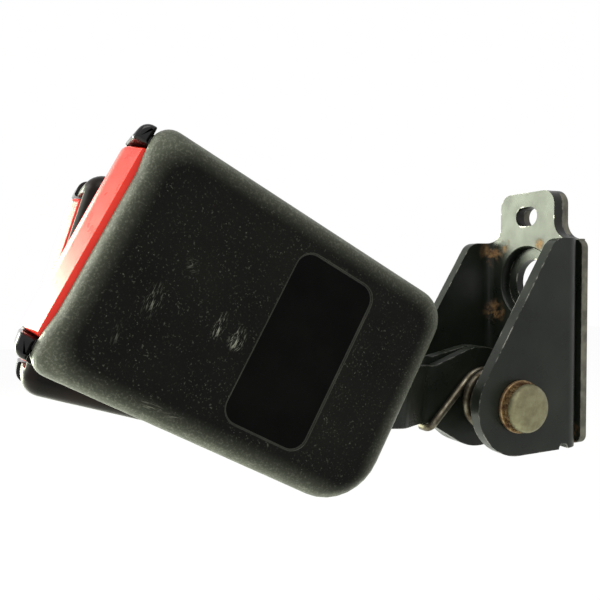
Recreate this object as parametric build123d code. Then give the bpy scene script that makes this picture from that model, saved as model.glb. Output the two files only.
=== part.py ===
from build123d import *
from math import acos, atan2, cos, degrees, hypot, pi, radians, sin
import os

# Twin seat belt buckle: one steel anchor bracket, a pivot pin and two sprung arms, each
# with an end-release buckle. Millimetres. The origin is the centre of the anchor bolt's
# bore on its seat face, +X points into the car body, +Y runs along the pivot pin and
# +Z points up. "front" is the -Y arm and buckle, "rear" the +Y one.
# A buckle is built in its own frame: x from the tail to the mouth, y out through its
# label side and z across it.

# Anchor bracket
plate = 3.0
bracket_width = 36.0
bend_inside = 2.5
cup_stand = 2.2
cup_depth = 2.7
cup_mouth_r = 10.1
cup_draft = 0.5
bolt_bore_r = 6.5
ear_top = 11.6
ear_top_depth = 10.0
ear_corner_r = 4.5
boss_r = 12.5
pin_drop = 30.4
pin_reach = 22.0
relief_r = 1.5
relief_offset = 7.0
tab_width = 20.5
tab_top = 25.2
tab_corner_r = 4.0
tab_root_r = 5.0
tab_root_half = 16.0
tab_slot_height = 18.5
tab_slot_length = 8.2
tab_slot_width = 5.4
deburr = 0.5

# Backing plate, spot-welded behind the bracket's base round its cup
backing_half = 17.0
backing_corner_r = 2.5
backing_hole_r = 13.3

# Pivot pin, washers and bushes
pin_r = 4.0
pin_head_r = 6.0
pin_head_depth = 2.2
pin_tail_r = 5.6
pin_tail_depth = 1.9
washer_r = 6.6
washer_depth = 1.0
toothed_r = 6.2
toothed_depth = 1.5
tooth_count = 22
tooth_height = 0.5
bush_r = 5.3
centre_washer_r = 9.0
centre_washer_depth = 0.6
running = 0.05
side_gap = 0.05

# Arms
eye_r = 13.4
neck_width = 15.0
taper_end = 15.0
joggle_start = 18.2
joggle_end = 28.6
joggle_r = 4.5
blade_width = 17.0
blade_start = -3.0
blade_length = 20.5
front_reach = 38.8
front_neck_angle = 6.6
front_buckle_angle = 29.4
rear_reach = 37.3
rear_neck_angle = 14.1
rear_buckle_angle = 18.7

# Torsion springs
coil_r = 7.3
coil_wire_r = 1.0
coil_turns = 3
hook_reach = 16.2
hook_length = 3.7
hook_bend_r = 1.8
stop_leg_drop = 10.0
spring_gap = 0.15

# Buckle housing
cover_length = 71.0
cover_width = 49.4
cover_depth = 12.0
wall = 2.0
face_edge_r = 3.5
inside_edge_r = 1.6
mouth_corner_r = 3.8
tail_low_r = 12.0
tail_high_r = 7.0
mouth_step = 0.5
mouth_step_start = 14.0
mouth_step_end = 18.0
mouth_step_r = 8.0
label_length = 36.6
label_width = 18.8
label_centre = 28.0
label_corner_r = 3.5
label_depth = 0.5
pair_pitch = 28.8
fit = 0.3

# Latch frame
frame_base_depth = 2.0
frame_base_low = -8.6
frame_start = 8.5
frame_set_back = 10.5
flange_outside = 17.5
flange_depth = 2.0
flange_top = 3.6
window_length = 29.0
window_margin = 4.0
window_width = 15.2
rivet_r = 2.0
rivet_head_r = 3.4
rivet_head_depth = 1.2
rivet_place = 13.5
rivet_spacing = 10.0
spring_tab_depth = 2.0
spring_room = 17.5
rib_place = 12.0
rib_depth = 1.5

# Latch
latch_reach = 24.0
latch_pivot_y = 0.6
latch_depth = 2.5
latch_width = 17.0
latch_set_back = 7.0
claw_depth = 2.5
claw_drop = 8.0
claw_width = 13.0
trunnion_r = 1.5
latch_lift = 13.0

# Ejector
ejector_set_back = 0.5
ejector_length = 9.5
ejector_width = 18.0
ejector_top = -2.85
ejector_guide_width = 14.6
ejector_socket = 4.0

# Button
button_depth = 10.5
button_stand = 3.5
button_low = -2.4
button_high = 8.6
button_half = 19.1
button_wall = 1.8
button_edge_r = 4.2
button_crown = 0.6
leg_inside = 17.9
leg_depth = 2.8
leg_length = 24.5
leg_low = -1.5
leg_high = 5.5
spigot_r = 0.8
spigot_length = 2.5

# Mouth guide
lug_inside = 19.5
lug_outside = 24.2
lug_half = 8.3
lug_stand = 3.6
lug_back = 0.7
lug_corner_r = 2.0
lug_edge_r = 1.5
guide_depth = 8.0
guide_outside = 21.5
lip_depth = 2.4

# Compression springs: coil radius, wire radius, turns
button_spring = (1.35, 0.3, 6)
ejector_spring = (1.75, 0.3, 7)
latch_spring = (1.9, 0.3, 3)

base_face = -cup_stand
pin_x = base_face - pin_reach
pin_z = -pin_drop
ear_bottom = pin_z - boss_r
half_bracket = bracket_width / 2
ear_inside = half_bracket - plate
arm_face = centre_washer_depth / 2 + side_gap
blade_low = frame_base_low + frame_base_depth
blade_middle = blade_low + plate / 2
inside_face = cover_depth - wall
guide_start = cover_length - guide_depth
button_back = cover_length - button_depth
frame_end = cover_length - frame_set_back
window_end = frame_end - window_margin
window_start = window_end - window_length
latch_tip = window_end - latch_set_back
latch_pivot_x = latch_tip - latch_reach
ejector_front = latch_tip - ejector_set_back
leg_start = cover_length - leg_length
spring_tab_place = leg_start - spring_room - spring_tab_depth
pin_centre = Vector(pin_x, 0, pin_z)


def bar(x, y, z):
    """A square-edged block between pairs of limits."""
    size = [limits[1] - limits[0] for limits in (x, y, z)]
    middle = [(limits[1] + limits[0]) / 2 for limits in (x, y, z)]
    return Pos(*middle) * Box(*size)


def both_sides(block):
    """The block and its copy on the other side of z = 0."""
    return block + mirror(block, about=Plane.XY)


def side_view(outline, low, high):
    """A solid from an (x, z) outline, between two depths in y."""
    return Pos(0, low, 0) * extrude(Plane.XZ * outline, high - low, dir=(0, 1, 0))


def turned(profile):
    """A part turned about the pin from an outline of (radius, y) points."""
    outline = make_face(Polyline(*profile, close=True))
    return Pos(pin_x, 0, pin_z) * revolve(outline, Axis.Y)


def ring(inside, outside, low, high):
    """A plain tube or washer on the pin."""
    return turned([(inside, low), (outside, low), (outside, high), (inside, high)])


def direction(angle):
    """Unit vector that points left along an arm, raised by an angle."""
    return Vector(-cos(radians(angle)), 0, sin(radians(angle)))


def upward(angle):
    """Unit vector square to direction(angle), on its upper side."""
    return Vector(sin(radians(angle)), 0, cos(radians(angle)))


def neck_plane(angle):
    """Frame of an arm: x along its neck, z up across it, y towards the front."""
    return Plane(origin=pin_centre, x_dir=direction(angle), z_dir=upward(angle))


def buckle_plane(reach, neck_angle, buckle_angle, side):
    """Frame of a buckle: the two buckles turn their label sides away from each other."""
    tail = pin_centre + direction(neck_angle) * reach + Vector(0, side * pair_pitch / 2, 0)
    across = upward(buckle_angle) * -side
    return Plane(origin=tail, x_dir=direction(buckle_angle), z_dir=across)


def channel_section(inset):
    """The bent plate's outline seen from above, or its inside when inset."""
    depth = pin_reach + boss_r + plate
    width = bracket_width - 2 * inset
    slab = Pos(base_face - inset - depth / 2, 0) * Rectangle(depth, width)
    corners = slab.vertices().group_by(Axis.X)[-1]
    return fillet(corners, bend_inside + plate - inset)


def ear_outline():
    """Side view of the ears: a round boss drawn up to a rounded top corner."""
    boss = Pos(pin_x, pin_z) * Circle(boss_r)
    height = ear_top - ear_bottom
    middle = (ear_top + ear_bottom) / 2
    spine = Pos(base_face - ear_top_depth / 2, middle) * Rectangle(ear_top_depth, height)
    outline = make_hull(boss.edges() + spine.edges())
    corner = outline.vertices().sort_by_distance(
        Vector(base_face - ear_top_depth, ear_top)
    )[0]
    return fillet(corner, ear_corner_r)


def tab_outline():
    """Slotted locating tab, with the strip of plate that it grows from."""
    root = pin_drop / 2
    base = Pos(0, ear_top - root / 2) * Rectangle(2 * tab_root_half, root)
    tab = Pos(0, tab_top / 2) * Rectangle(tab_width, tab_top)
    outline = base + tab
    root_points = [Vector(side * tab_width / 2, ear_top) for side in (-1, 1)]
    roots = [outline.vertices().sort_by_distance(point)[0] for point in root_points]
    outline = fillet(roots, tab_root_r)
    outline = fillet(outline.vertices().group_by(Axis.Y)[-1], tab_corner_r)
    return outline - Pos(0, tab_slot_height) * SlotOverall(tab_slot_length, tab_slot_width)


def bolt_cup(depth_from, depth_to, mouth_r, floor_r):
    """A round, slightly drafted plug on the bolt's axis."""
    outline = Polyline(
        (depth_from, 0), (depth_from, mouth_r), (depth_to, floor_r), (depth_to, 0), close=True
    )
    return revolve(make_face(outline), Axis.X)


def make_bracket():
    section = channel_section(0) - channel_section(plate)
    folded = extrude(Plane.XY.offset(ear_bottom) * section, tab_top - ear_bottom)
    channel = folded & side_view(ear_outline(), -half_bracket, half_bracket)
    inner_face = base_face - plate
    bend_start = base_face - plate - bend_inside
    tab = folded & extrude(Plane.YZ.offset(bend_start) * tab_outline(), -bend_start)
    cup = bolt_cup(inner_face, 0, cup_mouth_r + plate, cup_mouth_r + plate - 2 * cup_draft)
    cup = fillet(cup.edges().group_by(Axis.X)[-1], cup_draft * 2)
    hollow_floor = inner_face + cup_depth
    hollow = bolt_cup(inner_face - 1, hollow_floor, cup_mouth_r, cup_mouth_r - cup_draft)
    bore = Rot(0, 90, 0) * Cylinder(bolt_bore_r, 4 * plate)
    bracket = channel + tab + cup - hollow - bore
    rim = [
        e
        for e in bracket.edges().filter_by(GeomType.CIRCLE)
        if abs(e.center().X - inner_face) < 0.01 and abs(e.radius - cup_mouth_r) < 0.2
    ]
    bracket = fillet(rim, deburr)
    through = Rot(90, 0, 0) * Cylinder(pin_r + running, 2 * bracket_width)
    relief = Rot(90, 0, 0) * Cylinder(relief_r, 2 * bracket_width)
    relief_x = base_face - relief_offset
    return bracket - Pos(pin_x, 0, pin_z) * through - Pos(relief_x, 0, ear_bottom) * relief


def make_backing_plate():
    """Flat stiffener behind the base and its tab, as thick as the cup stands out."""
    height = ear_top - ear_bottom
    sheet = Pos(0, ear_top - height / 2) * Rectangle(2 * backing_half, height)
    sheet = fillet(sheet.vertices(), backing_corner_r) + tab_outline()
    sheet -= Pos(0, tab_slot_height) * SlotOverall(tab_slot_length, tab_slot_width)
    sheet -= Circle(backing_hole_r)
    return extrude(Plane.YZ.offset(base_face) * sheet, cup_stand)


def make_pin():
    near = -half_bracket - washer_depth - toothed_depth
    far = half_bracket + washer_depth
    rim = pin_head_depth * 0.6
    profile = [
        (0, near - pin_head_depth),
        (pin_head_r * 0.72, near - pin_head_depth),
        (pin_head_r * 0.95, near - rim - 0.2),
        (pin_head_r, near - rim + 0.3),
        (pin_head_r, near),
        (pin_r, near),
        (pin_r, far),
        (pin_tail_r, far),
        (pin_tail_r * 0.9, far + pin_tail_depth * 0.55),
        (pin_tail_r * 0.55, far + pin_tail_depth),
        (0, far + pin_tail_depth),
    ]
    return turned(profile)


def make_toothed_washer():
    """Serrated lock washer under the pin's head."""
    low = -half_bracket - washer_depth - toothed_depth
    washer = ring(pin_r + running, toothed_r - tooth_height, low, low + toothed_depth)
    pitch = 2 * pi * toothed_r / tooth_count
    tooth = bar(
        (toothed_r - 2 * tooth_height, toothed_r), (low, low + toothed_depth), (0, pitch * 0.55)
    )
    for n in range(tooth_count):
        washer += Pos(pin_x, 0, pin_z) * Rot(0, 360 * n / tooth_count, 0) * tooth
    return washer


def make_washers():
    inside = pin_r + running
    return [
        ring(inside, washer_r, side * half_bracket, side * (half_bracket + washer_depth))
        for side in (-1, 1)
    ]


def make_bush(side):
    """Nylon sleeve on the pin, inside a torsion spring."""
    start = side * (arm_face + plate + side_gap)
    return ring(pin_r + running, bush_r, start, side * (ear_inside - side_gap))


def make_centre_washer():
    half = centre_washer_depth / 2
    return ring(pin_r + running, centre_washer_r, -half, half)


def arm_outline(reach, bend):
    """Flat shape of an arm: pivot eye, tapering neck and the blade inside the buckle."""
    eye = Circle(eye_r)
    neck_end = Pos(taper_end, 0) * Rectangle(1, neck_width)
    head = make_hull(eye.edges() + neck_end.edges())
    length = reach - taper_end
    neck = Pos(taper_end + length / 2, 0) * Rectangle(length, neck_width)
    blade_size = blade_length - blade_start
    blade = Pos(blade_start + blade_size / 2, 0) * Rectangle(blade_size, blade_width)
    blade = Pos(reach, 0) * Rot(0, 0, bend) * blade
    return head + neck + blade


def make_arm(reach, neck_angle, buckle_angle, side, holes):
    """Joggled steel arm: bent out of the bracket's middle to its own buckle."""
    out = -side
    near = out * (arm_face + plate / 2)
    far = out * (pair_pitch / 2 + blade_middle)
    end = reach + blade_length + plate
    path = FilletPolyline(
        (-eye_r - 1, near, 0),
        (joggle_start, near, 0),
        (joggle_end, far, 0),
        (end, far, 0),
        radius=joggle_r,
    )
    across = 4 * eye_r
    start = Plane(origin=path @ 0, x_dir=(0, 1, 0), z_dir=(1, 0, 0))
    strip = sweep(start * Rectangle(plate, across), path=path)
    outline = arm_outline(reach, buckle_angle - neck_angle)
    arm = strip & side_view(outline, -pair_pitch, pair_pitch)
    arm -= Rot(90, 0, 0) * Cylinder(pin_r + running, 2 * pair_pitch)
    return neck_plane(neck_angle).location * arm - holes


def tangent_angle(x, z, way):
    """Angle on the coil from which a straight leg reaches the point (x, z)."""
    return atan2(z, x) + way * acos(coil_r / hypot(x, z))


def wound(turn):
    """Axial travel of the coil, level at its start so that the leg runs straight on."""
    lead = 1 / 4
    if turn < lead:
        return turn * turn / (2 * lead)
    return turn - lead / 2


def make_torsion_spring(neck_angle, side):
    """Coil on the pin: one leg hooks under the arm, the other bears in the bracket's bend."""
    clear = coil_wire_r + spring_gap
    first = arm_face + plate + clear
    last = ear_inside - clear
    drop = -neck_width / 2 - clear
    hook = direction(neck_angle) * hook_reach + upward(neck_angle) * drop
    hook_angle = tangent_angle(hook.X, hook.Z, -1) % (2 * pi)
    stop = Vector(pin_reach - plate - bend_inside, 0, -stop_leg_drop)
    turns = coil_turns + (hook_angle - tangent_angle(stop.X, stop.Z, 1)) / (2 * pi)
    travel = 2 * wound(turns / 2)

    def on_coil(done):
        level = wound(done) if done < turns / 2 else travel - wound(turns - done)
        depth = side * (first + (last - first) * level / travel)
        angle = hook_angle - 2 * pi * done
        return Vector(coil_r * cos(angle), depth, coil_r * sin(angle))

    def along_coil(done):
        start, end = max(done - 0.001, 0), min(done + 0.001, turns)
        return (on_coil(end) - on_coil(start)).normalized()

    corner = Vector(hook.X, side * first, hook.Z)
    tip = corner - Vector(0, side * hook_length, 0)
    hooked = FilletPolyline(tip, corner, on_coil(0), radius=hook_bend_r)
    pieces = [edge for edge in hooked.edges()]
    steps = round(turns * 6)
    for n in range(steps):
        start, middle, end = [turns * (n + part) / steps for part in (0, 0.5, 1)]
        ends = (along_coil(start), along_coil(end))
        pieces.append(Spline(on_coil(start), on_coil(middle), on_coil(end), tangents=ends))
    pieces.append(Line(on_coil(turns), Vector(stop.X, side * last, stop.Z)))
    path = Wire(pieces)
    section = Plane(origin=tip, z_dir=(0, side, 0)) * Circle(coil_wire_r)
    return Pos(*pin_centre) * sweep(section, path=path)


def make_coil(spec, start, length, axis):
    """Small compression spring from a start point along an axis."""
    radius, wire, turns = spec
    height = length - 2 * wire
    path = Helix(pitch=height / turns, height=height, radius=radius)
    section = Plane(origin=path @ 0, z_dir=path % 0) * Circle(wire)
    coil = Pos(0, 0, wire) * sweep(section, path=path)
    return Plane(origin=start, z_dir=axis).location * coil


def cover_outline(inset):
    """Label-side outline of a cover; its mouth edge steps out beside the button."""
    half = cover_width / 2 - inset
    mouth = cover_length - inset
    corner = mouth + mouth_step
    points = [
        (inset, -half),
        (corner, -half),
        (corner, -mouth_step_end),
        (mouth, -mouth_step_start),
        (mouth, mouth_step_start),
        (corner, mouth_step_end),
        (corner, half),
        (inset, half),
    ]
    radii = [
        tail_low_r - inset,
        mouth_corner_r - inset,
        mouth_step_r,
        mouth_step_r,
        mouth_step_r,
        mouth_step_r,
        mouth_corner_r - inset,
        tail_high_r - inset,
    ]
    return make_face(FilletPolyline(*points, radius=radii, close=True))


def cover_shell():
    """Half housing, open at the parting plane y = 0 and closed on its label side."""
    block = side_view(cover_outline(0), 0, cover_depth)
    block = fillet(block.faces().sort_by(Axis.Y)[-1].edges(), face_edge_r)
    hollow = side_view(cover_outline(wall), 0, inside_face)
    hollow = fillet(hollow.faces().sort_by(Axis.Y)[-1].edges(), inside_edge_r)
    return block - hollow


def make_outer_cover():
    cover = cover_shell()
    half = button_half + fit
    cover -= bar((guide_start, 2 * cover_length), (-1, button_high + fit), (-half, half))
    side = (guide_start, 2 * cover_length)
    cover -= both_sides(bar(side, (-1, lug_half + fit), (0, guide_outside + fit)))
    rib_low = flange_outside - flange_depth
    rib = bar(
        (spring_tab_place - 6, spring_tab_place - 1),
        (flange_top + fit, inside_face),
        (rib_low, flange_outside),
    )
    label = Pos(label_centre, 0) * Rectangle(label_width, label_length)
    label = fillet(label.vertices(), label_corner_r)
    cover -= side_view(label, cover_depth - label_depth, cover_depth + 1)
    return cover + both_sides(rib)


def make_inner_cover():
    cover = mirror(cover_shell(), about=Plane.XZ)
    half = guide_outside + fit
    cover -= bar((guide_start, 2 * cover_length), (-inside_face, 1), (-half, half))
    slot = blade_width / 2 + fit
    gate = (blade_low - fit, blade_low + plate + fit)
    cover -= bar((-1, wall + 1), gate, (-slot, slot))
    rib = bar(
        (frame_start + 2, frame_end - 2),
        (-inside_face, frame_base_low),
        (rib_place, rib_place + rib_depth),
    )
    return cover + both_sides(rib)


def make_mouth_guide():
    """Glossy inner moulding: two end lugs joined by the back lip of the tongue slot."""
    front = cover_length + lug_stand
    back = cover_length + mouth_step + lug_back
    lug = Pos((front + back) / 2, (lug_inside + lug_outside) / 2) * Rectangle(
        front - back, lug_outside - lug_inside
    )
    outer = lug.vertices().sort_by_distance(Vector(front, lug_outside))[0]
    lug = side_view(fillet(outer, lug_corner_r), -lug_half, lug_half)
    ends = [
        e
        for e in lug.edges()
        if abs(abs(e.center().Y) - lug_half) < 0.01 and e.center().X > back + 0.5
    ]
    lug = fillet(ends, lug_edge_r)
    neck = bar(
        (guide_start, back + 0.5), (-inside_face + 0.1, lug_half), (lug_inside, guide_outside)
    )
    lip_low = -inside_face + 0.1
    lip = bar((guide_start, cover_length + 1), (lip_low, lip_low + lip_depth), (0, lug_inside + 1))
    lip = chamfer(lip.edges().filter_by(Axis.Z).group_by(Axis.Y)[-1], lip_depth / 3)
    return both_sides(lug + neck + lip)


def make_button():
    """Red release button: hollow bar across the mouth and two legs for its springs."""
    front = cover_length + button_stand
    middle = (button_low + button_high) / 2
    edge = front - button_crown
    line = Polyline((edge, button_low), (button_back, button_low), (button_back, button_high))
    line += Line((button_back, button_high), (edge, button_high))
    line += ThreePointArc((edge, button_high), (front, middle), (edge, button_low))
    section = make_face(line)
    corners = section.vertices().group_by(Axis.X)[-1]
    section = fillet(corners, button_edge_r)
    block = extrude(section, button_half, both=True)
    pocket = bar(
        (button_back - 1, front - button_wall * 1.6),
        (button_low + button_wall, button_high - button_wall),
        (-button_half + button_wall, button_half - button_wall),
    )
    leg = bar((leg_start, guide_start - fit), (leg_low, leg_high), (leg_inside, leg_inside + leg_depth))
    centre = ((leg_low + leg_high) / 2, leg_inside + leg_depth / 2)
    spigot = Pos(leg_start - spigot_length / 2, *centre) * Rot(0, 90, 0)
    spigot = spigot * Cylinder(spigot_r, spigot_length)
    return block - pocket + both_sides(leg + spigot)


def make_frame():
    """Pressed steel latch frame: base with a window and two side flanges."""
    top = blade_low
    half = flange_outside
    base = bar((frame_start, frame_end), (frame_base_low, top), (-half, half))
    window = bar(
        (window_start, window_end),
        (frame_base_low - 1, top + 1),
        (-window_width / 2, window_width / 2),
    )
    profile = Polyline(
        (frame_start, frame_base_low),
        (frame_end, frame_base_low),
        (frame_end, top + 1),
        (frame_end - 18, top + 4),
        (latch_pivot_x + 7, flange_top),
        (latch_pivot_x - 4, flange_top),
        (frame_start + 5, top + 3),
        (frame_start, top + 1),
        close=True,
    )
    flange = Pos(0, 0, half - flange_depth) * extrude(make_face(profile), flange_depth)
    hole = Pos(latch_pivot_x, latch_pivot_y, half) * Cylinder(trunnion_r + running, 3 * flange_depth)
    tab = bar(
        (spring_tab_place, spring_tab_place + spring_tab_depth),
        (0, flange_top),
        (half - flange_depth, inside_width() - fit),
    )
    return base - window + both_sides(flange - hole + tab) - rivet_holes()


def inside_width():
    return cover_width / 2 - wall


def rivet_places():
    return [(rivet_place, side * rivet_spacing / 2) for side in (-1, 1)]


def rivet_holes():
    hole = Rot(90, 0, 0) * Cylinder(rivet_r + running, 4 * plate)
    return Compound([Pos(x, blade_low, z) * hole for x, z in rivet_places()])


def make_rivets():
    """Two round-head rivets that clamp the arm's blade to the latch frame."""
    low, high = frame_base_low, blade_low + plate
    outline = Polyline(
        (0, low - rivet_head_depth),
        (rivet_head_r * 0.6, low - rivet_head_depth),
        (rivet_head_r, low - rivet_head_depth * 0.3),
        (rivet_head_r, low),
        (rivet_r, low),
        (rivet_r, high),
        (rivet_head_r, high),
        (rivet_head_r, high + rivet_head_depth * 0.3),
        (rivet_head_r * 0.6, high + rivet_head_depth),
        (0, high + rivet_head_depth),
        close=True,
    )
    rivet = revolve(make_face(outline), Axis.Y)
    return [Pos(x, 0, z) * rivet for x, z in rivet_places()]


def make_latch():
    """Latch plate with its claw, shown lifted as the forward ejector holds it."""
    half = latch_depth / 2
    tip = latch_tip - latch_pivot_x
    body = bar((-trunnion_r, tip), (-half, half), (-latch_width / 2, latch_width / 2))
    claw = bar((tip - claw_depth, tip), (-claw_drop, half), (-claw_width / 2, claw_width / 2))
    claw = chamfer(claw.edges().filter_by(Axis.Z).group_by(Axis.Y)[0], claw_depth / 4)
    rod = Cylinder(trunnion_r, 2 * (flange_outside - running))
    return Pos(latch_pivot_x, latch_pivot_y, 0) * Rot(0, 0, latch_lift) * (body + claw + rod)


def make_ejector():
    """Plastic slider that pushes the tongue out; its foot runs in the frame's window."""
    back = ejector_front - ejector_length
    low = blade_low + 0.1
    head = bar((back, ejector_front), (low, ejector_top), (-ejector_width / 2, ejector_width / 2))
    head = fillet(head.edges().filter_by(Axis.Y), 1.0)
    foot = bar(
        (back + 0.5, ejector_front - 0.5),
        (frame_base_low + 0.2, low),
        (-ejector_guide_width / 2, ejector_guide_width / 2),
    )
    socket = Rot(0, 90, 0) * Cylinder(ejector_spring[0] + ejector_spring[1] + fit, 2 * ejector_socket)
    return head + foot - Pos(back, ejector_axis(), 0) * socket


def ejector_axis():
    return blade_low + ejector_spring[0] + ejector_spring[1] + 0.1


def make_springs():
    """The three kinds of compression spring in a buckle, at their rest lengths."""
    side_z = leg_inside + leg_depth / 2
    side_y = (leg_low + leg_high) / 2
    start = spring_tab_place + spring_tab_depth
    pair = [
        make_coil(button_spring, (start, side_y, side * side_z), leg_start - start, (1, 0, 0))
        for side in (-1, 1)
    ]
    length = ejector_front - ejector_length + ejector_socket - blade_length
    push = make_coil(ejector_spring, (blade_length, ejector_axis(), 0), length, (1, 0, 0))
    place = latch_pivot_x + (latch_tip - latch_pivot_x) * 0.45
    lift = radians(latch_lift)
    rise = (place + latch_spring[0] + latch_spring[1] - latch_pivot_x) * sin(lift)
    seat = latch_pivot_y + rise + latch_depth / 2 / cos(lift) + 0.1
    hold = make_coil(latch_spring, (place, seat, 0), inside_face - seat - 0.1, (0, 1, 0))
    return {"button_springs": pair, "ejector_spring": push, "latch_spring": hold}


def make_buckle():
    """Every piece of one buckle, in the buckle's own frame."""
    pieces = {
        "outer_cover": make_outer_cover(),
        "inner_cover": make_inner_cover(),
        "mouth_guide": make_mouth_guide(),
        "latch_frame": make_frame(),
        "rivets": make_rivets(),
        "release_button": make_button(),
        "latch": make_latch(),
        "ejector": make_ejector(),
    }
    pieces.update(make_springs())
    return pieces


def write(name, shape):
    if isinstance(shape, list):
        shape = Compound(children=shape)
    export_step(shape, f"parts/{name}.step")


os.makedirs("parts", exist_ok=True)

write("bracket", make_bracket())
write("backing_plate", make_backing_plate())
write("pivot_pin", make_pin())
write("toothed_washer", make_toothed_washer())
write("pin_washers", make_washers())
write("centre_washer", make_centre_washer())

buckle = make_buckle()
sides = {
    "front": (-1, front_reach, front_neck_angle, front_buckle_angle),
    "rear": (1, rear_reach, rear_neck_angle, rear_buckle_angle),
}
for name, (side, reach, neck_angle, buckle_angle) in sides.items():
    place = buckle_plane(reach, neck_angle, buckle_angle, side).location
    holes = place * rivet_holes()
    arm = make_arm(reach, neck_angle, buckle_angle, side, holes)
    write(f"{name}_arm", arm)
    write(f"{name}_bush", make_bush(side))
    write(f"{name}_torsion_spring", make_torsion_spring(neck_angle, side))
    for piece, shape in buckle.items():
        if isinstance(shape, list):
            write(f"{name}_{piece}", [place * solid for solid in shape])
        else:
            write(f"{name}_{piece}", place * shape)
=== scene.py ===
from math import acos, atan2, cos, hypot, pi, radians, sin, tan

import bmesh
import bpy
from mathutils import Matrix, Vector


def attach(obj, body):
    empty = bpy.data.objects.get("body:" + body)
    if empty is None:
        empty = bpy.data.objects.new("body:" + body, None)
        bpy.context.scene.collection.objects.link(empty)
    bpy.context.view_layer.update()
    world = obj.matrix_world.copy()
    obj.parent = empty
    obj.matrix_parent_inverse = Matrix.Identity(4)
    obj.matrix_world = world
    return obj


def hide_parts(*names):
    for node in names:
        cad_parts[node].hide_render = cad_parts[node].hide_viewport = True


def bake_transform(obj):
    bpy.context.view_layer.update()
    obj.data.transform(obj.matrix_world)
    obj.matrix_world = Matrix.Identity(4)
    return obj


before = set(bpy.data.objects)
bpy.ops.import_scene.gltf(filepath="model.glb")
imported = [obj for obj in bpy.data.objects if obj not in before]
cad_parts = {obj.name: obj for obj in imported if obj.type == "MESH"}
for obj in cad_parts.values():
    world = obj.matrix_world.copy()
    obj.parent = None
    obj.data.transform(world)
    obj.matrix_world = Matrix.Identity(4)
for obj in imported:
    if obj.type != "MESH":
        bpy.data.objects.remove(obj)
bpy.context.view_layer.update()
scene = bpy.context.scene
MM = 0.001

# ---------------------------------------------------------------------------
# The studio: a white tent with a pale floor well below the bracket, a bright
# sheet behind on the left, a key lamp from the left and one over the label side.
# ---------------------------------------------------------------------------
heading, dip, lean = radians(24.37), radians(2.5), radians(0.46)
aim = Vector((sin(heading) * cos(dip), cos(heading) * cos(dip), -sin(dip)))
across = Matrix.Rotation(lean, 3, aim) @ Vector((cos(heading), -sin(heading), 0))
above = across.cross(aim)
camera = bpy.data.objects.new("studio_camera", bpy.data.cameras.new("studio_camera"))
scene.collection.objects.link(camera)
stand = Vector((-139.70, -141.50, 3.50)) * MM
camera.matrix_world = Matrix(
    (
        (across.x, above.x, -aim.x, stand.x),
        (across.y, above.y, -aim.y, stand.y),
        (across.z, above.z, -aim.z, stand.z),
        (0, 0, 0, 1),
    )
)
camera.data.sensor_width = 36
camera.data.lens = 38.96
camera.data.clip_start = 0.005
scene.camera = camera
scene.view_settings.view_transform = "Standard"

world = bpy.data.worlds.new("studio_tent")
scene.world = world
world.use_nodes = True
tent = world.node_tree
tent.nodes.clear()
rays = tent.nodes.new("ShaderNodeLightPath")
seen = tent.nodes.new("ShaderNodeMath")
seen.operation = "MAXIMUM"
tent.links.new(rays.outputs["Is Camera Ray"], seen.inputs[0])
tent.links.new(rays.outputs["Is Transmission Ray"], seen.inputs[1])
seen_or_gloss = tent.nodes.new("ShaderNodeMath")
seen_or_gloss.operation = "MAXIMUM"
tent.links.new(seen.outputs[0], seen_or_gloss.inputs[0])
tent.links.new(rays.outputs["Is Glossy Ray"], seen_or_gloss.inputs[1])
soft_light = tent.nodes.new("ShaderNodeBackground")
soft_light.inputs["Color"].default_value = (1, 1, 1, 1)
soft_light.inputs["Strength"].default_value = 0.75
white = tent.nodes.new("ShaderNodeBackground")
white.inputs["Color"].default_value = (1, 1, 1, 1)
white.inputs["Strength"].default_value = 1.0
either = tent.nodes.new("ShaderNodeMixShader")
tent.links.new(seen_or_gloss.outputs[0], either.inputs[0])
tent.links.new(soft_light.outputs[0], either.inputs[1])
tent.links.new(white.outputs[0], either.inputs[2])
tent_out = tent.nodes.new("ShaderNodeOutputWorld")
tent.links.new(either.outputs[0], tent_out.inputs["Surface"])


def soft_lamp(name, place, at, size, power, colour=(1, 1, 0.93)):
    """A square soft box at one point, turned towards another."""
    data = bpy.data.lights.new(name, "AREA")
    data.shape = "SQUARE"
    data.size = size
    data.energy = power
    data.color = colour
    lamp = bpy.data.objects.new(name, data)
    scene.collection.objects.link(lamp)
    lamp.location = place
    lamp.rotation_euler = (Vector(at) - Vector(place)).to_track_quat("-Z", "Y").to_euler()
    return lamp


middle = (-0.07, 0.0, -0.01)
soft_lamp("sheet_behind_left", (-0.56, 0.54, 0.06), (0.0, 0.0, 0.0), 0.50, 18.0, (0.93, 1.0, 0.78))
soft_lamp("key_from_the_left", (-0.62, 0.10, 0.30), middle, 0.40, 2.5)
soft_lamp("top_over_label_side", (-0.16, -0.30, 0.52), middle, 0.35, 1.3)

floor_mesh = bpy.data.meshes.new("studio_floor")
floor_reach, floor_height = 1.5, -0.17
quarters = ((-1, -1), (1, -1), (1, 1), (-1, 1))
floor_corners = [(x * floor_reach, y * floor_reach, floor_height) for x, y in quarters]
floor_mesh.from_pydata(floor_corners, [], [(0, 1, 2, 3)])
floor = bpy.data.objects.new("studio_floor", floor_mesh)
scene.collection.objects.link(floor)
paper = bpy.data.materials.new("pale_floor")
paper.use_nodes = True
sheet = paper.node_tree
sheet.nodes.clear()
matte = sheet.nodes.new("ShaderNodeBsdfDiffuse")
matte.inputs["Color"].default_value = (0.86, 0.86, 0.86, 1)
glow = sheet.nodes.new("ShaderNodeEmission")
glow.inputs["Strength"].default_value = 1.0
floor_rays = sheet.nodes.new("ShaderNodeLightPath")
blended = sheet.nodes.new("ShaderNodeMixShader")
share = sheet.nodes.new("ShaderNodeMath")
share.operation = "MULTIPLY"
share.inputs[1].default_value = 0.92
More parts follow.
